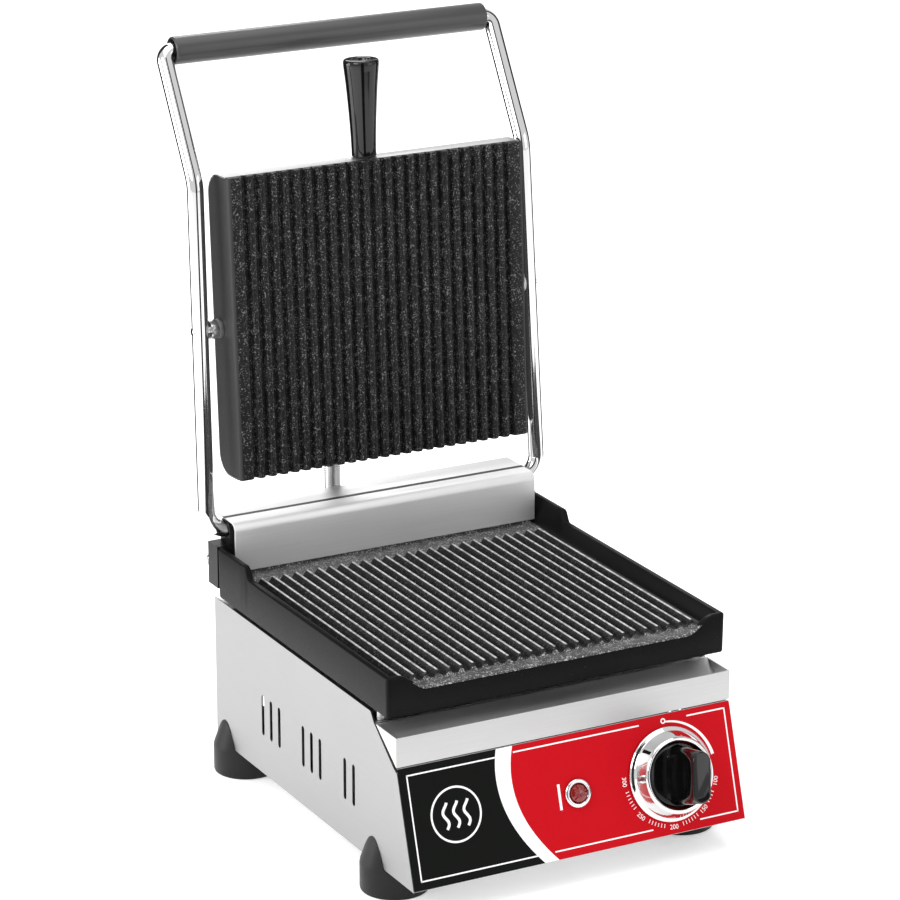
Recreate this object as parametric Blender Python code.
"""Single contact grill: a sheet-metal base with a ribbed plate, and a ribbed lid carried by a swinging bail.

The press empty's origin is the fascia's bottom edge at the height of the panels' bottom edge: +X right,
+Y back, +Z up. The press empty then puts the whole object's bounding box on the world origin. Metres.
"""
import math

import bmesh
import bpy
from mathutils import Matrix, Vector

# ---- fits and sheet
GAP = 0.0003                  # kept between neighbouring pieces
SHEET = 0.0010

# ---- case
BODY_WIDTH = 0.260
BODY_DEPTH = 0.3085
BODY_HEIGHT = 0.1089
FASCIA_SETBACK = 0.0248       # how far the fascia leans back
FASCIA_DROP = 0.0285          # fascia's top below the body's
GUTTER_DEPTH = 0.0294
GUTTER_DROP = 0.0069          # gutter's rim below the body's top
VENT_WIDTH = 0.0042
VENT_LOW = 0.0295
VENT_HIGH = 0.0600
VENT_BACK = 0.0785            # rearmost vent, from the body's back
VENT_PITCH = 0.0132
VENT_GROUP_PITCH = 0.0645
VENT_GROUPS = (3, 3, 2)

# ---- feet
FOOT_HEIGHT = 0.0225          # panels' bottom edge above the floor
FOOT_RADIUS = 0.0240
FOOT_TOP_RADIUS = 0.0165
FOOT_SHOULDER = -0.0020
FOOT_CONE_TOP = 0.0190
FOOT_TOP = 0.0240
FOOT_INSET = 0.0165           # foot's centre inside the side panel
FOOT_FRONT = 0.0595
FOOT_REAR = 0.0145            # foot's centre from the body's back

# ---- lower plate
PLATE_OVERHANG = 0.0013       # past each side panel
PLATE_RISE = 0.0035           # underside above the body's top
PLATE_FRONT = 0.0343
PLATE_REAR = 0.0089           # casting's back from the body's back
PLATE_HEIGHT = 0.0286
PLATE_WALL = 0.0070
PLATE_CORNER = 0.0025
FLOOR_RISE = 0.0176           # grooves' floor above the underside
EAR_LENGTH = 0.0447
EAR_SLOPE = 0.0063
LIP_CORNER = 0.0300           # low front lip starts this far from each side
LIP_SWEEP = 0.0210
SKIRT_FLOOR = 0.0090          # cavity's roof above the underside
SKIRT_SIDE = 0.0173
SKIRT_END = 0.0137

# ---- ribs, the same on both plates
RIB_PITCH = 0.00905
RIB_HEIGHT = 0.0047
RIB_CREST = 0.0020
RIB_BASE = 0.0064
RIB_END_TAPER = 0.0040
RIB_FRONT_GAP = 0.0117        # ribs' front ends from the casting's front
RIB_GUARD_GAP = 0.0190        # ribs' rear ends from the hinge guard
RIB_SIDE_GAP = 0.0110         # outer ribs from the side walls

# ---- controls on the fascia
KNOB_FROM_RIGHT = 0.0546
KNOB_UP = 0.0419              # along the leaning fascia
BEZEL_RADIUS = 0.0330
BEZEL_BORE = 0.0236
BEZEL_HEIGHT = 0.0152
BEZEL_WALL = 0.0012
BUSHING_TOP = 0.0040
KNOB_SEAT = 0.0050
BEZEL_LIP = 0.0010            # rounding at the bezel's rim
KNOB_RADIUS = 0.0222
KNOB_THICK = 0.0062
KNOB_WING = 0.0328
KNOB_TURN = math.radians(-8.0)  # the bar's turn from straight up at rest
KNOB_WING_WIDTH = 0.0120
KNOB_WING_FOOT = 0.0176
KNOB_WING_REACH = 0.0172      # bar's half length at its crest
FILM_MARGIN = 0.0006
SHAFT_RADIUS = 0.0030
BUSHING_RADIUS = 0.0045
THERMOSTAT_RADIUS = 0.0170
THERMOSTAT_DEPTH = 0.0225
LAMP_X = 0.0019
LAMP_UP = 0.0426
LAMP_RADIUS = 0.0100
LENS_RADIUS = 0.0064

# ---- hinge
AXLE_REAR = 0.0015            # axle from the body's back
AXLE_RISE = 0.0476            # axle above the lower plate's underside
ROD_RADIUS = 0.0060
ROD_CLEAR = 0.0045            # between the rod and the ears and brackets under it
ROD_END = 0.0425              # rod's ends inside the guard's ends
JOURNAL_FIT = 0.0003
LUG_INSET = 0.0015
LUG_THICK = 0.0060
BRACKET_REACH = 0.0157
BRACKET_RISE = 0.0056
BRACKET_BOLT_OUT = 0.0045     # bracket's bolt outside its lug
GUARD_INSET = 0.0085          # guard's ends inside the casting's sides
GUARD_FRONT = 0.0200          # guard's front wall ahead of the axle
GUARD_REAR = 0.0225
SPRING_ROOM = 0.0033          # guard's top above the rod
GUARD_FOLD = 0.0070
SPRING_WIRE = 0.0008
SPRING_TURNS = 5
SPRING_STEPS = 12             # points along each turn
SPRING_LENGTH = 0.0200
COLLAR_LENGTH = 0.0060
COLLAR_WALL = 0.0019

# ---- bail, measured from the axle with its arms upright
BAIL_LEAN = math.radians(4.0)
BAIL_FOOT_SPREAD = 0.0044     # rod wider at the axle than at the dogleg
BAIL_TOP_LEAN = math.radians(26.7)
BAIL_TOP_LENGTH = 0.0976
BAIL_FOOT_BEND = 0.0160
BAIL_DOGLEG_BEND = 0.0300
GRIP_BEND_SLACK = 0.0020      # grip bend's radius past the rod's own
DOGLEG_DROP = 0.0053          # dogleg below the lid's top edge
GRIP_FIT = 0.0004
GRIP_WALL = 0.0036
GRIP_END_WALL = 0.0013        # left by the counterbores
GRIP_COUNTERBORE_DEPTH = 0.0070
GRIP_CLEAR = 0.0008           # sleeve's ends to the arms

# ---- lid, measured from its pivot with its face upright
LID_LEAN = math.radians(3.3)
LID_INSET = 0.0140            # lid's sides inside the lower casting's
LID_THICK = 0.0350
LID_SHORTER = 0.0024          # than the lower ribs
LID_FRONT_GAP = 0.0021
LID_PIVOT_LOW = 0.0018        # pivot below the lid's middle
LID_CORNER = 0.0160
LID_WALL = 0.0070
LID_SLAB = 0.0118
COVER_START = 0.0056          # cover's front edge behind the ribbed face
CLOSED_GAP = 0.0015           # between the plates' crests
GROOVE_MOUTH = 0.0042
GROOVE_BOTTOM = 0.0016
GROOVE_OVERCUT = 0.0003       # cutter's extra width where it starts outside the face
PIVOT_RADIUS = 0.0030
PIVOT_DOME_RADIUS = 0.0042
PIVOT_DOME_RISE = 0.0012
NUT_RADIUS = 0.0070
HANDLE_X = -0.0020
HANDLE_LENGTH = 0.0700
HANDLE_BASE_RADIUS = 0.0090
HANDLE_END_RADIUS = 0.0130
HANDLE_HOLE_RADIUS = 0.0062
HANDLE_BOLT_RADIUS = 0.0040

# ---- wiring
HEATER_RADIUS = 0.0033
HEATER_BEND = 0.0150
PROBE_RADIUS = 0.0025
CAPILLARY_RADIUS = 0.0012
CONDUIT_RADIUS = 0.0060
CONDUIT_X = -0.0190
CONDUIT_UP = 0.0800
CONDUIT_BEND = 0.0200
CONDUIT_SPLIT = 0.0250        # joint between its two lengths, above the axle
CONDUIT_BEHIND_LID = 0.0166    # conduit behind the lid
TERMINAL_WIDTH = 0.0400
TERMINAL_LOW = 0.0240         # terminal box above the lid's bottom edge
TERMINAL_HEIGHT = 0.0340
GLAND_RADIUS = 0.0095
MAINS_X = 0.0600
MAINS_UP = 0.0400

# ---- worked out from the values above
HALF = BODY_WIDTH / 2
FASCIA_TOP = BODY_HEIGHT - FASCIA_DROP
FASCIA_TILT = math.atan2(FASCIA_SETBACK, FASCIA_TOP)
FASCIA_LENGTH = math.hypot(FASCIA_SETBACK, FASCIA_TOP)
FASCIA_SLOPE = FASCIA_SETBACK / FASCIA_TOP
GUTTER_TOP = BODY_HEIGHT - GUTTER_DROP
KNOB_X = HALF - KNOB_FROM_RIGHT
KNOB_TOP = KNOB_SEAT + KNOB_THICK + KNOB_WING
PLATE_HALF = HALF + PLATE_OVERHANG
PLATE_BACK = BODY_DEPTH - PLATE_REAR
PLATE_BOTTOM = BODY_HEIGHT + PLATE_RISE
PLATE_FLOOR = PLATE_BOTTOM + FLOOR_RISE
PLATE_RIM = PLATE_BOTTOM + PLATE_HEIGHT
AXLE_Y = BODY_DEPTH - AXLE_REAR
AXLE_Z = PLATE_BOTTOM + AXLE_RISE
GUARD_HALF = PLATE_HALF - GUARD_INSET
GUARD_TOP = ROD_RADIUS + SPRING_ROOM
EAR_RISE = AXLE_RISE - ROD_RADIUS - ROD_CLEAR
BRACKET_HEIGHT = EAR_RISE - BRACKET_RISE
GRIP_BORE = ROD_RADIUS + GRIP_FIT
GRIP_RADIUS = GRIP_BORE + GRIP_WALL
RIB_FRONT = PLATE_FRONT + RIB_FRONT_GAP
RIB_BACK = AXLE_Y - GUARD_FRONT - RIB_GUARD_GAP
RIB_TOP = PLATE_FLOOR + RIB_HEIGHT
LID_HALF = PLATE_HALF - LID_INSET
LID_LENGTH = RIB_BACK - RIB_FRONT - LID_SHORTER
LID_TOP = LID_LENGTH / 2 + LID_PIVOT_LOW
LID_BOTTOM = LID_TOP - LID_LENGTH
PIVOT_ARM = AXLE_Y - RIB_FRONT - LID_FRONT_GAP - LID_TOP
LID_FACE = -(AXLE_Z - RIB_TOP - CLOSED_GAP)
LID_BACK = LID_FACE + LID_THICK
LID_MIDDLE = LID_FACE + LID_THICK / 2
CONDUIT_BEHIND_PIVOT = LID_BACK + CONDUIT_BEHIND_LID
DOGLEG = PIVOT_ARM + LID_TOP - DOGLEG_DROP
ARM_TOP_X = PLATE_HALF
ARM_FOOT_X = ARM_TOP_X + BAIL_FOOT_SPREAD
ARM_PIVOT_X = ARM_FOOT_X - BAIL_FOOT_SPREAD * PIVOT_ARM / DOGLEG
GRIP_Y = BAIL_TOP_LENGTH * math.sin(BAIL_TOP_LEAN)
GRIP_Z = DOGLEG + BAIL_TOP_LENGTH * math.cos(BAIL_TOP_LEAN)
FOOT_CENTRES = {
    "front_left": (-HALF + FOOT_INSET, FOOT_FRONT),
    "front_right": (HALF - FOOT_INSET, FOOT_FRONT),
    "rear_left": (-HALF + FOOT_INSET, BODY_DEPTH - FOOT_REAR),
    "rear_right": (HALF - FOOT_INSET, BODY_DEPTH - FOOT_REAR),
}
STUD_X = HALF - 0.0080
FRONT_STUD_Y = PLATE_FRONT + 0.0277
REAR_STUD_Y = PLATE_BACK - 0.0076
RAIL_TOP = GUTTER_TOP
REAR_FLANGE_TOP = BODY_HEIGHT - 0.0014

BAIL_FRAME = Matrix.Translation((0, AXLE_Y, AXLE_Z)) @ Matrix.Rotation(-BAIL_LEAN, 4, "X")
LID_FRAME = BAIL_FRAME @ Matrix.Translation((0, 0, PIVOT_ARM)) @ Matrix.Rotation(BAIL_LEAN - LID_LEAN, 4, "X")
GRIP_CENTRE = BAIL_FRAME @ Vector((0, GRIP_Y, GRIP_Z))
KNOB_LOW = KNOB_UP - KNOB_WING_REACH
FRONT_REACH = KNOB_LOW * math.sin(FASCIA_TILT) - KNOB_TOP * math.cos(FASCIA_TILT)
MIDDLE_Y = (FRONT_REACH + GRIP_CENTRE.y + GRIP_RADIUS) / 2

FINISHES = {
    "stainless": ((0.62, 0.61, 0.60), 0.30, 1.0),
    "chrome": ((0.78, 0.78, 0.78), 0.10, 1.0),
    "zinc": ((0.55, 0.55, 0.54), 0.40, 1.0),
    "cast_iron": ((0.045, 0.046, 0.048), 0.55, 0.3),
    "black_steel": ((0.020, 0.020, 0.020), 0.45, 0.2),
    "black_plastic": ((0.012, 0.012, 0.013), 0.30, 0.0),
    "bakelite": ((0.010, 0.010, 0.010), 0.12, 0.0),
    "rubber": ((0.020, 0.020, 0.021), 0.75, 0.0),
    "printed_film": ((0.030, 0.030, 0.032), 0.35, 0.0),
    "red_lens": ((0.25, 0.010, 0.008), 0.10, 0.0),
    "copper": ((0.72, 0.40, 0.26), 0.35, 1.0),
    "ceramic": ((0.75, 0.73, 0.68), 0.60, 0.0),
}


# ---- shapes, each added to a bmesh as a closed body
def loft(bm, rings, closed=False):
    """Skin rings of points; a ring of one point is a tip, and the ends are capped unless closed."""
    made = [[bm.verts.new(point) for point in ring] for ring in rings]
    pairs = list(zip(made, made[1:]))
    if closed:
        pairs.append((made[-1], made[0]))
    for a, b in pairs:
        for i in range(max(len(a), len(b))):
            j = (i + 1) % max(len(a), len(b))
            face = [a[i % len(a)], a[j % len(a)], b[j % len(b)], b[i % len(b)]]
            bm.faces.new(list(dict.fromkeys(face)))
    for end in () if closed else (made[0], made[-1]):
        if len(end) > 1:
            bm.faces.new(end)
    bmesh.ops.recalc_face_normals(bm, faces=bm.faces)
    return bm


def prism(bm, outline, low, high, axis):
    """Sweep a flat outline along an axis; its two coordinates are the other two axes, in order."""
    place = {
        "X": lambda a, b, h: (h, a, b),
        "Y": lambda a, b, h: (a, h, b),
        "Z": lambda a, b, h: (a, b, h),
    }[axis]
    return loft(bm, [[place(a, b, h) for a, b in outline] for h in (low, high)])


def block(bm, x, y, z):
    """A box between pairs of limits, given in either order."""
    (x0, x1), (y0, y1) = sorted(x), sorted(y)
    return prism(bm, [(x0, y0), (x1, y0), (x1, y1), (x0, y1)], min(z), max(z), "Z")


def turned(bm, profile, centre=(0, 0, 0), axis="Z", segments=24, ring=False):
    """Turn (radius, height) points about an axis; a ring has a bore, so its profile is a loop."""
    rings = []
    for radius, height in profile:
        points = []
        for k in range(segments if radius > 0 else 1):
            a = radius * math.cos(math.tau * k / segments)
            b = radius * math.sin(math.tau * k / segments)
            place = {"X": (height, a, b), "Y": (a, height, b), "Z": (a, b, height)}[axis]
            points.append(Vector(centre) + Vector(place))
        rings.append(points)
    return loft(bm, rings, closed=ring)


def rod(bm, radius, low, high, centre=(0, 0, 0), axis="Z", segments=16):
    return turned(bm, [(radius, low), (radius, high)], centre, axis, segments)


def swept(bm, points, radii, sides=12):
    """A round bar along a path; radii is one value or one for each point."""
    points = [Vector(point) for point in points]
    if isinstance(radii, float):
        radii = [radii] * len(points)
    normal = (points[1] - points[0]).orthogonal()
    rings = []
    for i, point in enumerate(points):
        ahead = points[min(i + 1, len(points) - 1)] - points[max(i - 1, 0)]
        tangent = ahead.normalized()
        normal = (normal - normal.dot(tangent) * tangent).normalized()
        side = tangent.cross(normal)
        turn = [math.tau * k / sides for k in range(sides)]
        rings.append([point + radii[i] * (math.cos(a) * normal + math.sin(a) * side) for a in turn])
    return loft(bm, rings)


def rounded(corners, steps=6, closed=False):
    """A path through (point, bend radius) corners, each bend an arc."""
    points = []
    for i, (corner, radius) in enumerate(corners):
        corner = Vector(corner).to_3d()
        if radius == 0 or (not closed and i in (0, len(corners) - 1)):
            points.append(corner)
            continue
        back = (Vector(corners[i - 1][0]).to_3d() - corner).normalized()
        ahead = (Vector(corners[(i + 1) % len(corners)][0]).to_3d() - corner).normalized()
        half = back.angle(ahead) / 2
        centre = corner + (back + ahead).normalized() * radius / math.sin(half)
        start = (corner + back * radius / math.tan(half) - centre).normalized()
        end = (corner + ahead * radius / math.tan(half) - centre).normalized()
        points += [centre + radius * start.slerp(end, k / steps) for k in range(steps + 1)]
    return points


def outline(corners, steps=4):
    """A closed flat outline from (point, corner radius) pairs."""
    return [(point.x, point.y) for point in rounded(corners, steps, closed=True)]


def rectangle(x, y, radius=0, steps=4):
    corners = [(x[0], y[0]), (x[1], y[0]), (x[1], y[1]), (x[0], y[1])]
    return outline([(corner, radius) for corner in corners], steps)


# ---- objects
def empty(name, parent=None, location=(0, 0, 0), tilt=0):
    holder = bpy.data.objects.new(name, None)
    bpy.context.collection.objects.link(holder)
    holder.parent = parent
    holder.location = location
    holder.rotation_euler.x = tilt
    return holder


def material(finish):
    """The finish's material, made once."""
    if finish in bpy.data.materials:
        return bpy.data.materials[finish]
    colour, roughness, metallic = FINISHES[finish]
    made = bpy.data.materials.new(finish)
    made.use_nodes = True
    shader = made.node_tree.nodes["Principled BSDF"]
    shader.inputs["Base Color"].default_value = (*colour, 1)
    shader.inputs["Roughness"].default_value = roughness
    shader.inputs["Metallic"].default_value = metallic
    made.diffuse_color = (*colour, 1)
    return made


def add(name, bm, finish, parent):
    """Make a sub-part's object from a finished bmesh."""
    mesh = bpy.data.meshes.new(name)
    bm.to_mesh(mesh)
    bm.free()
    mesh.materials.append(material(finish))
    mesh.shade_smooth()
    mesh.set_sharp_from_angle(angle=math.radians(35))
    made = bpy.data.objects.new(name, mesh)
    bpy.context.collection.objects.link(made)
    made.parent = parent
    return made


def boolean(target, bm, operation="DIFFERENCE"):
    """Cut a shape from an object, or join it on, with a modifier that stays on the object."""
    mesh = bpy.data.meshes.new(target.name + "_tool")
    bm.to_mesh(mesh)
    bm.free()
    tool = bpy.data.objects.new(mesh.name, mesh)
    bpy.context.collection.objects.link(tool)
    tool.parent = target
    tool.hide_render = True
    tool.display_type = "WIRE"
    modifier = target.modifiers.new(operation.lower(), "BOOLEAN")
    modifier.object = tool
    modifier.operation = operation


# ---- case
def vent_centres():
    """Slot centres along a side panel, from the rear group forward."""
    for group, count in enumerate(VENT_GROUPS):
        for slot in range(count):
            yield BODY_DEPTH - VENT_BACK - group * VENT_GROUP_PITCH - slot * VENT_PITCH


def build_side_panel(press, side, sign):
    """Flat side sheet whose front corner is cut back along the gutter's slope."""
    seam_top = GUTTER_DEPTH + FASCIA_SETBACK + 0.0028
    seam_low = FASCIA_TOP - 0.0012
    side_view = [
        (GAP, 0),
        (BODY_DEPTH, 0),
        (BODY_DEPTH, BODY_HEIGHT),
        (seam_top + 0.0050, BODY_HEIGHT - 0.0004),
        (seam_top, GUTTER_TOP - 0.0003),
        (FASCIA_SETBACK + 0.0036, seam_low),
        ((seam_low - 0.0022) * FASCIA_SLOPE + GAP, seam_low - 0.0022),
    ]
    bm = prism(bmesh.new(), side_view, *sorted((sign * (HALF - SHEET), sign * HALF)), "X")
    panel = add(f"side_panel_{side}", bm, "stainless", press)
    slots = bmesh.new()
    half = VENT_WIDTH / 2
    across = sorted((sign * (HALF - 2 * SHEET), sign * (HALF + SHEET)))
    for y in vent_centres():
        prism(slots, rectangle((y - half, y + half), (VENT_LOW, VENT_HIGH), 0.98 * half, 2), *across, "X")
    boolean(panel, slots)


def build_panels(press, fascia):
    inside = HALF - SHEET - GAP
    front = block(bmesh.new(), (-inside, inside), (GAP, FASCIA_LENGTH - GAP), (-SHEET, 0))
    front_panel = add("front_panel", front, "stainless", fascia)
    holes = rod(bmesh.new(), BUSHING_RADIUS + 0.0006, -3 * SHEET, 3 * SHEET, (KNOB_X, KNOB_UP, 0))
    rod(holes, LENS_RADIUS + 0.0006, -3 * SHEET, 3 * SHEET, (LAMP_X, LAMP_UP, 0))
    boolean(front_panel, holes)

    rear_view = [
        (BODY_DEPTH, GAP),
        (BODY_DEPTH, REAR_FLANGE_TOP),
        (REAR_STUD_Y - 0.0090, REAR_FLANGE_TOP),
        (REAR_STUD_Y - 0.0090, REAR_FLANGE_TOP - SHEET),
        (BODY_DEPTH - SHEET, REAR_FLANGE_TOP - SHEET),
        (BODY_DEPTH - SHEET, GAP),
    ]
    rear = add("rear_panel", prism(bmesh.new(), rear_view, -inside, inside, "X"), "stainless", press)
    cuts = bmesh.new()
    across = (BODY_DEPTH - 3 * SHEET, BODY_DEPTH + 3 * SHEET)
    rod(cuts, CONDUIT_RADIUS - 0.0010, *across, (CONDUIT_X, 0, CONDUIT_UP), "Y")
    rod(cuts, CONDUIT_RADIUS - 0.0010, *across, (MAINS_X, 0, MAINS_UP), "Y")
    for sign in (-1, 1):
        rod(cuts, PIVOT_RADIUS + 0.0004, -0.02, 0.02, (sign * STUD_X, REAR_STUD_Y, REAR_FLANGE_TOP))
        foot_x = HALF - FOOT_INSET - FOOT_RADIUS - 0.001
        block(cuts, (sign * foot_x, sign * (HALF + 0.01)), across, (-0.01, FOOT_TOP + 0.001))
    boolean(rear, cuts)

    low, high = SHEET, 2 * SHEET
    start = high * FASCIA_SLOPE + 2 * SHEET
    floor = block(bmesh.new(), (-inside, inside), (start, BODY_DEPTH - SHEET - GAP), (low, high))
    bottom = add("bottom_plate", floor, "stainless", press)
    clear = bmesh.new()
    for x, y in FOOT_CENTRES.values():
        rod(clear, FOOT_RADIUS + GAP, -0.01, 0.01, (x, y, 0), segments=24)
    boolean(bottom, clear)

    rail_start = FASCIA_SETBACK + GUTTER_DEPTH + 0.0013
    rail_view = [
        (rail_start, RAIL_TOP - SHEET),
        (rail_start, RAIL_TOP),
        (FRONT_STUD_Y + 0.0180, RAIL_TOP),
        (FRONT_STUD_Y + 0.0180, RAIL_TOP - 0.0100),
        (FRONT_STUD_Y + 0.0180 - SHEET, RAIL_TOP - 0.0100),
        (FRONT_STUD_Y + 0.0180 - SHEET, RAIL_TOP - SHEET),
    ]
    rail = add("front_rail", prism(bmesh.new(), rail_view, -inside, inside, "X"), "stainless", press)
    bores = bmesh.new()
    for sign in (-1, 1):
        rod(bores, PIVOT_RADIUS + 0.0004, -0.02, 0.02, (sign * STUD_X, FRONT_STUD_Y, RAIL_TOP))
    boolean(rail, bores)


def build_gutter(press):
    """V trough with closed ends: an upright front strip and a sloping back."""
    front = FASCIA_SETBACK - 0.0002
    low = FASCIA_TOP + 0.0005
    back = front + GUTTER_DEPTH
    outer = [(front, low), (back, GUTTER_TOP), (front, GUTTER_TOP)]
    gutter = add("drip_gutter", prism(bmesh.new(), outer, -HALF, HALF, "X"), "stainless", press)
    rise = (GUTTER_TOP - low) / GUTTER_DEPTH
    inner_low = low + SHEET * math.hypot(1, rise) + SHEET * rise
    reach = (GUTTER_TOP - inner_low) / rise
    above = 0.002
    inner = [
        (front + SHEET, inner_low),
        (front + SHEET + reach + above / rise, GUTTER_TOP + above),
        (front + SHEET, GUTTER_TOP + above),
    ]
    boolean(gutter, prism(bmesh.new(), inner, -HALF + SHEET, HALF - SHEET, "X"))


def build_feet(press):
    """Rubber feet, slotted for the side panel's bottom edge."""
    profile = [
        (FOOT_RADIUS, -FOOT_HEIGHT),
        (FOOT_RADIUS, FOOT_SHOULDER),
        (FOOT_TOP_RADIUS, FOOT_CONE_TOP),
        (FOOT_TOP_RADIUS - 0.0025, FOOT_TOP),
    ]
    for place, (x, y) in FOOT_CENTRES.items():
        foot = add(f"foot_{place}", turned(bmesh.new(), profile, (x, y, 0)), "rubber", press)
        sign = math.copysign(1, x)
        slot = (sign * (HALF - SHEET - GAP), sign * (HALF + GAP))
        boolean(foot, block(bmesh.new(), slot, (y - 0.05, y + 0.05), (-GAP, FOOT_TOP + 0.01)))


# ---- plates
def rib_centres(half_width):
    """Rib positions across a plate, as many as fit at the pitch."""
    count = int(2 * half_width / RIB_PITCH) + 1
    return [(i - (count - 1) / 2) * RIB_PITCH for i in range(count)]


def build_lower_plate(press):
    """Casting: raised sides and rear ears, a low front lip, ribs over a flat floor."""
    side_view = [
        (PLATE_FRONT, PLATE_BOTTOM),
        (PLATE_BACK, PLATE_BOTTOM),
        (PLATE_BACK, PLATE_BOTTOM + EAR_RISE),
        (PLATE_BACK - EAR_LENGTH, PLATE_BOTTOM + EAR_RISE),
        (PLATE_BACK - EAR_LENGTH - EAR_SLOPE, PLATE_RIM),
        (PLATE_FRONT, PLATE_RIM),
    ]
    bm = prism(bmesh.new(), side_view, -PLATE_HALF, PLATE_HALF, "X")
    plate = add("lower_plate", bm, "cast_iron", press)
    plan = rectangle((-PLATE_HALF, PLATE_HALF), (PLATE_FRONT, PLATE_BACK), PLATE_CORNER)
    boolean(plate, prism(bmesh.new(), plan, PLATE_BOTTOM - 0.01, PLATE_RIM + 0.03, "Z"), "INTERSECT")

    inside = PLATE_HALF - PLATE_WALL
    above = PLATE_RIM + 0.02
    tray = rectangle((-inside, inside), (PLATE_FRONT + PLATE_WALL, PLATE_BACK - PLATE_WALL), 0.004)
    boolean(plate, prism(bmesh.new(), tray, PLATE_FLOOR, above, "Z"))
    back_wall = ((PLATE_BACK - 2 * PLATE_WALL, PLATE_BACK + 0.01), (PLATE_RIM, above))
    boolean(plate, block(bmesh.new(), (-inside, inside), *back_wall))

    lip = PLATE_HALF - LIP_CORNER
    steps = 6
    curve = [
        (lip + LIP_SWEEP * k / steps,
         PLATE_FLOOR + (PLATE_RIM - PLATE_FLOOR) * (1 - math.cos(math.pi * k / steps)) / 2)
        for k in range(steps + 1)
    ]
    front_view = [(-x, z) for x, z in reversed(curve)] + curve
    front_view += [(lip + LIP_SWEEP, above), (-lip - LIP_SWEEP, above)]
    reach = (PLATE_FRONT - 0.01, PLATE_FRONT + PLATE_WALL + 0.003)
    boolean(plate, prism(bmesh.new(), front_view, *reach, "Y"))

    sunk = PLATE_FLOOR - 0.0004
    rings = []
    for y, top in (
        (RIB_FRONT, PLATE_FLOOR + 0.0005),
        (RIB_FRONT + RIB_END_TAPER, RIB_TOP),
        (RIB_BACK - RIB_END_TAPER, RIB_TOP),
        (RIB_BACK, PLATE_FLOOR + 0.0005),
    ):
        ribs = rib_centres(inside - RIB_SIDE_GAP)
        ring = [(ribs[0] - RIB_PITCH / 2, y, PLATE_FLOOR - 0.002)]
        for x in ribs:
            ring += [(x - RIB_BASE / 2, y, sunk), (x - RIB_CREST / 2, y, top)]
            ring += [(x + RIB_CREST / 2, y, top), (x + RIB_BASE / 2, y, sunk)]
        rings.append(ring + [(ribs[-1] + RIB_PITCH / 2, y, PLATE_FLOOR - 0.002)])
    boolean(plate, loft(bmesh.new(), rings), "UNION")

    under = bmesh.new()
    cavity = PLATE_HALF - SKIRT_SIDE
    ends = (PLATE_FRONT + SKIRT_END, PLATE_BACK - SKIRT_END)
    block(under, (-cavity, cavity), ends, (PLATE_BOTTOM - 0.01, PLATE_BOTTOM + SKIRT_FLOOR))
    for sign in (-1, 1):
        for y in (FRONT_STUD_Y, REAR_STUD_Y):
            rod(under, PIVOT_RADIUS + 0.0004, -0.01, 0.0075, (sign * STUD_X, y, PLATE_BOTTOM))
        bolt = (sign * bracket_bolt_x(), 0, PLATE_BOTTOM + BRACKET_RISE + BRACKET_HEIGHT / 2)
        rod(under, PIVOT_RADIUS + 0.0004, PLATE_BACK - 0.006, PLATE_BACK + 0.01, bolt, "Y")
    boolean(plate, under)


def build_studs(press):
    """Standoffs that carry the lower plate on the front rail and on the rear panel's flange."""
    for place, y, seat in (("front", FRONT_STUD_Y, RAIL_TOP), ("rear", REAR_STUD_Y, REAR_FLANGE_TOP)):
        profile = [
            (PIVOT_RADIUS, PLATE_BOTTOM + 0.0060),
            (PIVOT_RADIUS, PLATE_BOTTOM - GAP),
            (0.0048, PLATE_BOTTOM - GAP),
            (0.0048, seat + GAP),
            (PIVOT_RADIUS, seat + GAP),
            (PIVOT_RADIUS, seat - SHEET - GAP),
            (0.0052, seat - SHEET - GAP),
            (0.0052, seat - SHEET - 0.0050),
            (PIVOT_RADIUS, seat - SHEET - 0.0050),
            (PIVOT_RADIUS, seat - SHEET - 0.0075),
        ]
        for side, sign in (("left", -1), ("right", 1)):
            bm = turned(bmesh.new(), profile, (sign * STUD_X, y, 0), segments=8)
            add(f"stud_{place}_{side}", bm, "zinc", press)


def heater_path(half_width, near, far, level):
    """Serpentine in the XY plane of a plate's back, with its two ends turned away from the plate."""
    third = half_width / 3
    down = level - 0.0110
    corners = [
        (-half_width, near, down), (-half_width, near, level), (-half_width, far, level),
        (-third, far, level), (-third, near + 0.030, level), (third, near + 0.030, level),
        (third, far, level), (half_width, far, level), (half_width, near, level), (half_width, near, down),
    ]
    bends = [0, 0.006] + [HEATER_BEND] * 6 + [0.006, 0]
    return rounded(list(zip(corners, bends)), 3)


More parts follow.
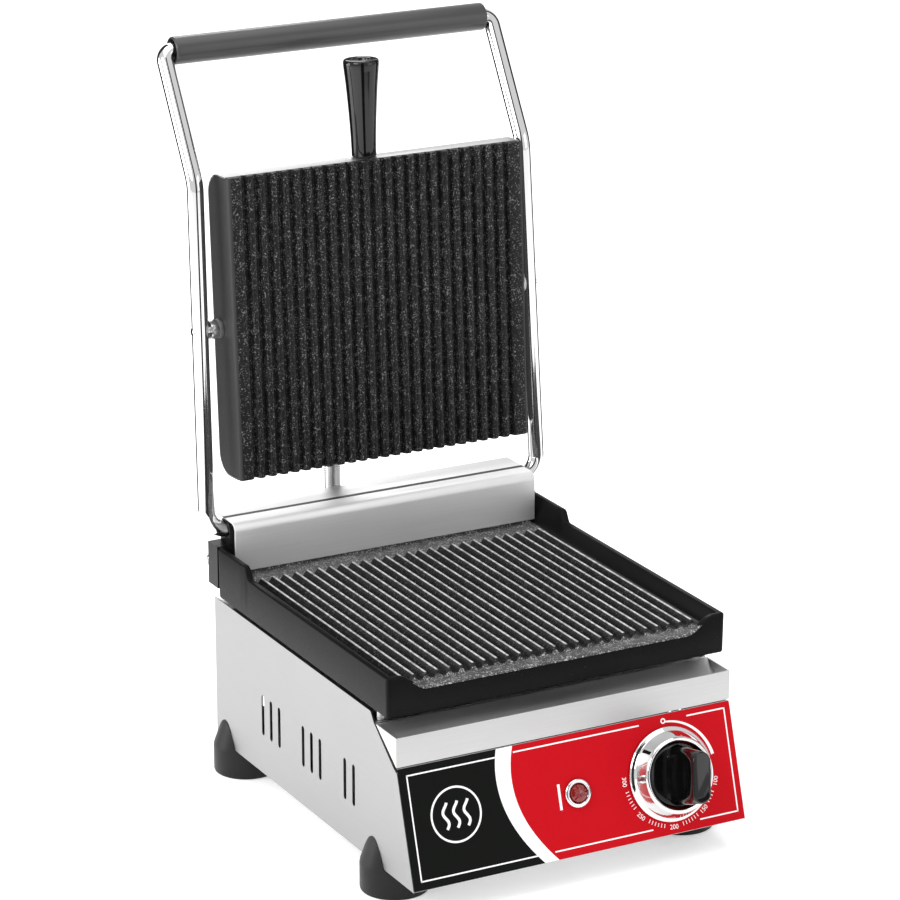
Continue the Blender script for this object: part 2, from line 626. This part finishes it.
def build_lower_heater(press):
    half = PLATE_HALF - SKIRT_SIDE - 0.020
    near = PLATE_FRONT + SKIRT_END + 0.016
    far = PLATE_BACK - SKIRT_END - 0.014
    level = PLATE_BOTTOM + SKIRT_FLOOR - HEATER_RADIUS - 0.0006
    bm = swept(bmesh.new(), heater_path(half, near, far, level), HEATER_RADIUS, 6)
    add("lower_heater", bm, "zinc", press)

    inside = PLATE_HALF - SKIRT_SIDE - 0.001
    ends = (PLATE_FRONT + SKIRT_END + 0.001, PLATE_BACK - SKIRT_END - 0.001)
    sheet = block(bmesh.new(), (-inside, inside), ends, (PLATE_BOTTOM, PLATE_BOTTOM + 0.0008))
    reflector = add("lower_reflector", sheet, "stainless", press)
    holes = bmesh.new()
    for x in (-half, half):
        rod(holes, HEATER_RADIUS + 0.0010, -0.01, 0.01, (x, near, PLATE_BOTTOM))
    probe_y = near + 0.050
    rod(holes, PROBE_RADIUS + 0.0008, -0.01, 0.01, (0, probe_y, PLATE_BOTTOM))
    boolean(reflector, holes)

    knob = fascia_point(KNOB_X, KNOB_UP, -THERMOSTAT_DEPTH - 0.0030)
    behind = fascia_point(KNOB_X, KNOB_UP, -THERMOSTAT_DEPTH - 0.0230)
    line = rounded([
        (knob, 0), (behind, 0.008), ((0.0, probe_y, behind.z), 0.012),
        ((0.0, probe_y, level), 0.006), ((0.0, probe_y + 0.020, level), 0),
    ], 4)
    bulb = [(0.0, probe_y + 0.022, level), (0.0, probe_y + 0.085, level)]
    radii = [CAPILLARY_RADIUS] * len(line) + [PROBE_RADIUS] * 2
    add("thermostat_probe", swept(bmesh.new(), line + bulb, radii, 8), "copper", press)


# ---- controls
def fascia_point(x, up, out):
    """A point given along the fascia, in the press frame."""
    turn = Matrix.Rotation(math.pi / 2 - FASCIA_TILT, 4, "X")
    return turn @ Vector((x, up, out))


def build_controls(fascia, knob_axis):
    side = HALF - FILM_MARGIN
    film = block(bmesh.new(), (-side, side), (FILM_MARGIN, FASCIA_LENGTH - FILM_MARGIN), (0.0002, 0.0005))
    label = add("fascia_label", film, "printed_film", fascia)
    holes = rod(bmesh.new(), BUSHING_RADIUS + 0.0008, -0.003, 0.003, (KNOB_X, KNOB_UP, 0))
    rod(holes, LENS_RADIUS + 0.0008, -0.003, 0.003, (LAMP_X, LAMP_UP, 0))
    boolean(label, holes)

    seat = 0.0008
    inside = BEZEL_BORE + BEZEL_WALL
    skirt = BEZEL_RADIUS - BEZEL_WALL
    bezel = [
        (BEZEL_RADIUS, seat), (BEZEL_RADIUS, seat + 0.0018), (BEZEL_RADIUS - 0.0025, seat + 0.0038),
        (BEZEL_BORE + 2.4 * BEZEL_LIP, BEZEL_HEIGHT - BEZEL_LIP), (BEZEL_BORE + BEZEL_LIP, BEZEL_HEIGHT),
        (BEZEL_BORE, BEZEL_HEIGHT - 0.6 * BEZEL_LIP), (BEZEL_BORE, seat), (inside, seat),
        (inside, BEZEL_HEIGHT - 2 * BEZEL_WALL), (BEZEL_RADIUS - 0.0038, seat + 0.0030),
        (skirt, seat + 0.0010), (skirt, seat),
    ]
    bm = turned(bmesh.new(), bezel, (KNOB_X, KNOB_UP, 0), segments=32, ring=True)
    add("knob_bezel", bm, "chrome", fascia)

    ring = [
        (LAMP_RADIUS, seat), (LAMP_RADIUS, seat + 0.0014), (LAMP_RADIUS - 0.0014, seat + 0.0026),
        (LENS_RADIUS + 0.0004, seat + 0.0026), (LENS_RADIUS + 0.0004, seat),
    ]
    add("lamp_bezel", turned(bmesh.new(), ring, (LAMP_X, LAMP_UP, 0), ring=True), "chrome", fascia)
    lens = [(LENS_RADIUS - 0.001, -0.0160), (LENS_RADIUS, -0.0150), (LENS_RADIUS, 0.0026)]
    lens += [(LENS_RADIUS * math.cos(a), 0.0026 + 0.0026 * math.sin(a)) for a in (0.5, 1.0)]
    lens += [(0, 0.0052)]
    add("lamp_lens", turned(bmesh.new(), lens, (LAMP_X, LAMP_UP, 0)), "red_lens", fascia)

    behind = -SHEET - GAP
    back = behind - THERMOSTAT_DEPTH
    bore = SHAFT_RADIUS + 0.0003
    body = [
        (BUSHING_RADIUS, BUSHING_TOP), (BUSHING_RADIUS, behind), (THERMOSTAT_RADIUS, behind),
        (THERMOSTAT_RADIUS, back), (0, back),
    ]
    made = add("thermostat_body", turned(bmesh.new(), body, (KNOB_X, KNOB_UP, 0)), "ceramic", fascia)
    shaft_hole = rod(bmesh.new(), bore, behind - 0.0120, BUSHING_TOP + 0.01, (KNOB_X, KNOB_UP, 0))
    boolean(made, shaft_hole)

    shaft_top = KNOB_SEAT + KNOB_THICK - 0.0014
    add("thermostat_shaft", rod(bmesh.new(), SHAFT_RADIUS, behind - 0.0115, shaft_top), "zinc", knob_axis)
    top = KNOB_SEAT + KNOB_THICK
    knob = [
        (bore, shaft_top + GAP), (bore, KNOB_SEAT), (0.0065, KNOB_SEAT), (0.0065, KNOB_SEAT + 0.0025),
        (KNOB_RADIUS - 0.0025, KNOB_SEAT + 0.0025), (KNOB_RADIUS - 0.0020, KNOB_SEAT),
        (KNOB_RADIUS, KNOB_SEAT), (KNOB_RADIUS, top - 0.0016), (KNOB_RADIUS - 0.0016, top), (0, top),
    ]
    bm = turned(bmesh.new(), [(0, shaft_top + GAP)] + knob, segments=32)
    made = add("thermostat_knob", bm, "bakelite", knob_axis)
    foot = (KNOB_WING_FOOT / 2, KNOB_RADIUS - 0.0010, top - 0.0008)
    crest = (KNOB_WING_WIDTH / 2, KNOB_WING_REACH, KNOB_TOP)
    wing = [
        [(x, y, level) for x, y in rectangle((-half, half), (-reach, reach), 0.6 * half)]
        for half, reach, level in (foot, crest)
    ]
    bar = loft(bmesh.new(), wing)
    bar.transform(Matrix.Rotation(KNOB_TURN, 4, "Z"))
    boolean(made, bar, "UNION")


# ---- hinge
def lug_limits():
    outer = GUARD_HALF - LUG_INSET
    return outer - LUG_THICK, outer


def bracket_bolt_x():
    return lug_limits()[1] + BRACKET_BOLT_OUT


def build_hinge(press):
    lug_low, lug_high = lug_limits()
    crown = GUARD_TOP - SHEET - GAP
    bottom = PLATE_BOTTOM + BRACKET_RISE
    shelf = PLATE_BOTTOM + EAR_RISE + 0.0007
    front = PLATE_BACK + 0.0007
    arc = [
        (AXLE_Y + crown * math.cos(math.pi * k / 10), AXLE_Z + crown * math.sin(math.pi * k / 10))
        for k in range(11)
    ]
    lug_view = [(AXLE_Y - crown, shelf), (front, shelf), (front, bottom), (AXLE_Y + crown, bottom)] + arc
    bolt_z = bottom + BRACKET_HEIGHT / 2
    for side, sign in (("left", -1), ("right", 1)):
        bm = prism(bmesh.new(), lug_view, *sorted((sign * lug_low, sign * lug_high)), "X")
        bracket = add(f"hinge_bracket_{side}", bm, "black_steel", press)
        pad = ((sign * (lug_high - 0.001), sign * (HALF + 0.001)), (front, front + BRACKET_REACH))
        boolean(bracket, block(bmesh.new(), *pad, (bottom, bottom + BRACKET_HEIGHT)), "UNION")
        bores = rod(bmesh.new(), ROD_RADIUS + JOURNAL_FIT, -0.2, 0.2, (0, AXLE_Y, AXLE_Z), "X", 24)
        bolt = (sign * bracket_bolt_x(), 0, bolt_z)
        rod(bores, PIVOT_RADIUS + 0.0004, PLATE_BACK, PLATE_BACK + 0.03, bolt, "Y")
        boolean(bracket, bores)
        head = front + BRACKET_REACH + GAP
        profile = [
            (PIVOT_RADIUS, PLATE_BACK - 0.0050), (PIVOT_RADIUS, head), (0.0052, head),
            (0.0052, head + 0.0040),
        ]
        add(f"bracket_bolt_{side}", turned(bmesh.new(), profile, bolt, "Y", 12), "zinc", press)

        far = GUARD_HALF - ROD_END + 0.004
        mean = ROD_RADIUS + SPRING_WIRE + 0.00040
        coil = [Vector((sign * far, AXLE_Y + mean, AXLE_Z - 0.016))]
        for k in range(SPRING_TURNS * SPRING_STEPS + 1):
            turn = math.tau * k / SPRING_STEPS
            x = sign * (far + SPRING_LENGTH * k / (SPRING_TURNS * SPRING_STEPS))
            coil.append(Vector((x, AXLE_Y + mean * math.cos(turn), AXLE_Z + mean * math.sin(turn))))
        bm = swept(bmesh.new(), coil, SPRING_WIRE, 5)
        add(f"torsion_spring_{side}", bm, "zinc", press)

    top = AXLE_Z + GUARD_TOP
    face = AXLE_Y - GUARD_FRONT
    back = AXLE_Y + GUARD_REAR
    low = PLATE_FLOOR + 0.0030
    fold = outline([
        ((face, low), 0), ((face, top), GUARD_FOLD), ((back, top), 0), ((back, top - SHEET), 0),
        ((face + SHEET, top - SHEET), GUARD_FOLD - SHEET), ((face + SHEET, low), 0),
    ], 6)
    add("hinge_guard", prism(bmesh.new(), fold, -GUARD_HALF, GUARD_HALF, "X"), "stainless", press)


# ---- bail
def build_bail(bail):
    """One bent bar: axle ends, upright arms, a dogleg and the grip's cross bar."""
    end = GUARD_HALF - ROD_END
    half = [
        ((end, 0, 0), 0),
        ((ARM_FOOT_X, 0, 0), BAIL_FOOT_BEND),
        ((ARM_TOP_X, 0, DOGLEG), BAIL_DOGLEG_BEND),
        ((ARM_TOP_X, GRIP_Y, GRIP_Z), ROD_RADIUS + GRIP_BEND_SLACK),
    ]
    mirrored = [((-x, y, z), bend) for (x, y, z), bend in reversed(half)]
    path = rounded(half + mirrored, 5)
    frame = add("bail_rod", swept(bmesh.new(), path, ROD_RADIUS, 14), "chrome", bail)
    boolean(frame, rod(bmesh.new(), PIVOT_RADIUS + GAP, -0.2, 0.2, (0, 0, PIVOT_ARM), "X"))

    long = ARM_TOP_X - ROD_RADIUS - GRIP_CLEAR
    counterbore = GRIP_RADIUS - GRIP_END_WALL
    deep = long - GRIP_COUNTERBORE_DEPTH
    sleeve = [
        (GRIP_RADIUS - 0.0008, -long), (GRIP_RADIUS, -long + 0.0010), (GRIP_RADIUS, long - 0.0010),
        (GRIP_RADIUS - 0.0008, long), (counterbore, long), (counterbore, deep),
        (GRIP_BORE, deep), (GRIP_BORE, -deep), (counterbore, -deep), (counterbore, -long),
    ]
    bm = turned(bmesh.new(), sleeve, (0, GRIP_Y, GRIP_Z), "X", 24, ring=True)
    add("grip_sleeve", bm, "black_plastic", bail)

    lug_low = lug_limits()[0]
    for side, sign in (("left", -1), ("right", 1)):
        near, far = lug_low - 0.0008 - COLLAR_LENGTH, lug_low - 0.0008
        bore, rim = ROD_RADIUS + GAP, ROD_RADIUS + COLLAR_WALL
        collar = [(bore, sign * near), (rim, sign * near), (rim, sign * far), (bore, sign * far)]
        add(f"rod_collar_{side}", turned(bmesh.new(), collar, axis="X", ring=True), "zinc", bail)

        arm = ARM_PIVOT_X + ROD_RADIUS + 0.0004
        profile = [
            (PIVOT_RADIUS, sign * (LID_HALF - LID_WALL + 0.0005)), (PIVOT_RADIUS, sign * arm),
            (PIVOT_DOME_RADIUS, sign * arm),
            (0.9 * PIVOT_DOME_RADIUS, sign * (arm + PIVOT_DOME_RISE / 2)),
            (0.5 * PIVOT_DOME_RADIUS, sign * (arm + PIVOT_DOME_RISE)),
        ]
        bm = turned(bmesh.new(), profile, (0, 0, PIVOT_ARM), "X", 16)
        add(f"pivot_bolt_{side}", bm, "chrome", bail)
        near, far = LID_HALF + 0.0004, ARM_PIVOT_X - ROD_RADIUS - 0.0007
        nut = [(PIVOT_RADIUS + 0.0003, sign * near), (NUT_RADIUS, sign * near),
               (NUT_RADIUS, sign * far), (PIVOT_RADIUS + 0.0003, sign * far)]
        bm = turned(bmesh.new(), nut, (0, 0, PIVOT_ARM), "X", 12, ring=True)
        add(f"pivot_nut_{side}", bm, "chrome", bail)


# ---- lid
def build_upper_plate(lid):
    """Casting with full-length ridges on its face and a hollow back for the element."""
    inset = SHEET + GAP
    start = LID_FACE + COVER_START - GAP
    side_view = outline([
        ((LID_FACE, LID_BOTTOM), 0.001), ((LID_FACE, LID_TOP), 0.001), ((start, LID_TOP), 0),
        ((start, LID_TOP - inset), 0), ((LID_BACK - inset, LID_TOP - inset), LID_CORNER - inset),
        ((LID_BACK - inset, LID_BOTTOM + inset), LID_CORNER - inset), ((start, LID_BOTTOM + inset), 0),
        ((start, LID_BOTTOM), 0),
    ], 5)
    bm = prism(bmesh.new(), side_view, -LID_HALF, LID_HALF, "X")
    plate = add("upper_plate", bm, "cast_iron", lid)
    pocket = (LID_HALF - LID_WALL, LID_BOTTOM + LID_WALL, LID_TOP - LID_WALL)
    back = (LID_FACE + LID_SLAB, LID_BACK + 0.01)
    boolean(plate, block(bmesh.new(), (-pocket[0], pocket[0]), back, pocket[1:]))
    cuts = bmesh.new()
    for sign in (-1, 1):
        across = sorted((sign * (LID_HALF - 2 * LID_WALL), sign * (LID_HALF + 0.01)))
        rod(cuts, PIVOT_RADIUS + GAP, *across, axis="X")
    rod(cuts, HANDLE_BOLT_RADIUS + GAP, LID_TOP - 2 * LID_WALL, LID_TOP + 0.01, (HANDLE_X, LID_MIDDLE, 0))
    for x, z in screw_centres():
        rod(cuts, 0.0020, LID_BACK - 0.014, LID_BACK + 0.01, (x, 0, z), "Y", 10)
    boolean(plate, cuts)

    grooves = bmesh.new()
    depth = RIB_HEIGHT
    wide = GROOVE_MOUTH / 2 + GROOVE_OVERCUT
    for x in rib_centres(LID_HALF - RIB_PITCH):
        groove = [
            (x - wide, LID_FACE - 0.001), (x + wide, LID_FACE - 0.001),
            (x + GROOVE_BOTTOM / 2, LID_FACE + depth), (x - GROOVE_BOTTOM / 2, LID_FACE + depth),
        ]
        prism(grooves, groove, LID_BOTTOM - 0.01, LID_TOP + 0.01, "Z")
    boolean(plate, grooves)


def screw_centres():
    x = LID_HALF - LID_WALL / 2
    return [(sign * x, z) for sign in (-1, 1) for z in (LID_BOTTOM + 0.026, LID_TOP - 0.026)]


def build_cover(lid):
    """Stainless sheet wrapped over the lid's back and its two end edges."""
    start = LID_FACE + COVER_START
    inner = LID_CORNER - SHEET
    section = outline([
        ((start, LID_TOP), 0), ((LID_BACK, LID_TOP), LID_CORNER), ((LID_BACK, LID_BOTTOM), LID_CORNER),
        ((start, LID_BOTTOM), 0), ((start, LID_BOTTOM + SHEET), 0),
        ((LID_BACK - SHEET, LID_BOTTOM + SHEET), inner), ((LID_BACK - SHEET, LID_TOP - SHEET), inner),
        ((start, LID_TOP - SHEET), 0),
    ], 5)
    cover = add("upper_cover", prism(bmesh.new(), section, -LID_HALF, LID_HALF, "X"), "stainless", lid)
    ends = (LID_TOP - 0.01, LID_TOP + 0.01)
    cuts = rod(bmesh.new(), HANDLE_BOLT_RADIUS + GAP, *ends, (HANDLE_X, LID_MIDDLE, 0))
    for x, z in screw_centres():
        rod(cuts, 0.0020, LID_BACK - 0.01, LID_BACK + 0.01, (x, 0, z), "Y", 10)
    middle = LID_BOTTOM + TERMINAL_LOW + TERMINAL_HEIGHT / 2
    rod(cuts, CONDUIT_RADIUS, LID_BACK - 0.01, LID_BACK + 0.01, (CONDUIT_X, 0, middle), "Y")
    boolean(cover, cuts)

    for number, (x, z) in enumerate(screw_centres(), 1):
        head = LID_BACK + GAP
        profile = [(0.0017, head - 0.0120), (0.0017, head), (0.0035, head), (0.0022, head + 0.0020)]
        add(f"cover_screw_{number}", turned(bmesh.new(), profile, (x, 0, z), "Y", 10), "zinc", lid)


def build_lid_inside(lid):
    level = LID_FACE + LID_SLAB + HEATER_RADIUS + 0.0006
    half = LID_HALF - LID_WALL - 0.012
    flat = heater_path(half, LID_BOTTOM + LID_WALL + 0.012, LID_TOP - LID_WALL - 0.010, -level)
    path = [Vector((point.x, -point.z, point.y)) for point in flat]
    add("upper_heater", swept(bmesh.new(), path, HEATER_RADIUS, 6), "zinc", lid)
    inside = LID_HALF - LID_WALL - 0.0010
    front = level + HEATER_RADIUS + 0.0006
    ends = (LID_BOTTOM + LID_WALL + 0.001, LID_TOP - LID_WALL - 0.004)
    sheet = block(bmesh.new(), (-inside, inside), (front, front + 0.0008), ends)
    reflector = add("upper_reflector", sheet, "stainless", lid)
    holes = bmesh.new()
    for x in (-half, half):
        centre = (x, 0, LID_BOTTOM + LID_WALL + 0.012)
        rod(holes, HEATER_RADIUS + 0.001, front - 0.01, front + 0.01, centre, "Y")
    boolean(reflector, holes)


def build_handle(lid):
    """Conical handle on a long bolt whose head sits at the bottom of its hole."""
    base = LID_TOP + GAP
    end = base + HANDLE_LENGTH
    shelf = base + 0.0100
    tight = HANDLE_BOLT_RADIUS + GAP
    centre = (HANDLE_X, LID_MIDDLE, 0)
    cone = [
        (HANDLE_BASE_RADIUS - 0.0008, base), (HANDLE_BASE_RADIUS, base + 0.0010),
        (HANDLE_END_RADIUS, end - 0.0030), (HANDLE_END_RADIUS - 0.0012, end - 0.0008),
        (HANDLE_END_RADIUS - 0.0030, end), (HANDLE_HOLE_RADIUS + 0.0005, end),
        (HANDLE_HOLE_RADIUS, end - 0.0006), (HANDLE_HOLE_RADIUS, shelf), (tight, shelf), (tight, base),
    ]
    add("front_handle", turned(bmesh.new(), cone, centre, segments=24, ring=True), "bakelite", lid)
    head = shelf + GAP
    bolt = [
        (HANDLE_BOLT_RADIUS, LID_TOP - LID_WALL + 0.0005), (HANDLE_BOLT_RADIUS, head),
        (HANDLE_HOLE_RADIUS - 0.0004, head), (HANDLE_HOLE_RADIUS - 0.0004, head + 0.0040),
    ]
    add("handle_bolt", turned(bmesh.new(), bolt, centre, segments=16), "zinc", lid)


# ---- wiring
def gland(bm, low, high, centre, axis):
    """A ring with a wider nut at its near end."""
    bore = CONDUIT_RADIUS + 0.0004
    step = low + (high - low) * 0.45
    profile = [
        (bore, low), (GLAND_RADIUS, low), (GLAND_RADIUS, step), (GLAND_RADIUS - 0.0015, step),
        (GLAND_RADIUS - 0.0015, high), (bore, high),
    ]
    return turned(bm, profile, centre, axis, 20, ring=True)


def build_wiring(press, lid):
    start = BODY_DEPTH + GAP
    bm = gland(bmesh.new(), start, start + 0.0105, (CONDUIT_X, 0, CONDUIT_UP), "Y")
    add("conduit_gland", bm, "zinc", press)
    bm = gland(bmesh.new(), start, start + 0.0160, (MAINS_X, 0, MAINS_UP), "Y")
    add("mains_gland", bm, "black_plastic", press)
    block_at = ((MAINS_X - 0.030, MAINS_X + 0.030), (BODY_DEPTH - 0.075, BODY_DEPTH - 0.045))
    bm = block(bmesh.new(), *block_at, (2 * SHEET + GAP, 2 * SHEET + 0.0180))
    add("terminal_block", bm, "ceramic", press)

    low = LID_BOTTOM + TERMINAL_LOW
    depth = CONDUIT_BEHIND_PIVOT + GLAND_RADIUS + 0.002
    side = (CONDUIT_X - TERMINAL_WIDTH / 2, CONDUIT_X + TERMINAL_WIDTH / 2)
    plan = rectangle(side, (LID_BACK + GAP, depth), 0.003, 3)
    add("lid_terminal_box", prism(bmesh.new(), plan, low, low + TERMINAL_HEIGHT, "Z"), "black_steel", lid)
    centre = (CONDUIT_X, CONDUIT_BEHIND_PIVOT, 0)
    bm = gland(bmesh.new(), low - GAP, low - 0.0140, centre, "Z")
    add("conduit_fitting", bm, "zinc", lid)

    top = LID_FRAME @ Vector((CONDUIT_X, CONDUIT_BEHIND_PIVOT, low - 2 * GAP))
    entry = LID_FRAME @ Vector((CONDUIT_X, CONDUIT_BEHIND_PIVOT, low - 0.016))
    split = AXLE_Z + CONDUIT_SPLIT
    lower = rounded([
        ((CONDUIT_X, BODY_DEPTH + 2 * GAP, CONDUIT_UP), 0),
        ((CONDUIT_X, entry.y, CONDUIT_UP), CONDUIT_BEND),
        ((CONDUIT_X, entry.y, split - GAP / 2), 0),
    ], 6)
    rise = [lower[-2].lerp(lower[-1], k / 6) for k in range(1, 6)]
    path = lower[:-1] + rise + lower[-1:]
    add("conduit_lower", swept(bmesh.new(), path, CONDUIT_RADIUS, 12), "stainless", press)
    upper = [Vector((CONDUIT_X, entry.y, split + GAP / 2)), entry, top]
    add("conduit_upper", swept(bmesh.new(), upper, CONDUIT_RADIUS, 12), "stainless", press)


def main():
    for made in list(bpy.data.objects):
        bpy.data.objects.remove(made, do_unlink=True)
    press = empty("press", location=(0, -MIDDLE_Y, FOOT_HEIGHT))
    fascia = empty("fascia", press, tilt=math.pi / 2 - FASCIA_TILT)
    knob_axis = empty("knob_axis", fascia, (KNOB_X, KNOB_UP, 0))
    bail = empty("bail_axis", press, (0, AXLE_Y, AXLE_Z), -BAIL_LEAN)
    lid = empty("lid_axis", bail, (0, 0, PIVOT_ARM), BAIL_LEAN - LID_LEAN)
    for side, sign in (("left", -1), ("right", 1)):
        build_side_panel(press, side, sign)
    build_panels(press, fascia)
    build_gutter(press)
    build_feet(press)
    build_lower_plate(press)
    build_studs(press)
    build_lower_heater(press)
    build_controls(fascia, knob_axis)
    build_hinge(press)
    build_bail(bail)
    build_upper_plate(lid)
    build_cover(lid)
    build_lid_inside(lid)
    build_handle(lid)
    build_wiring(press, lid)


main()
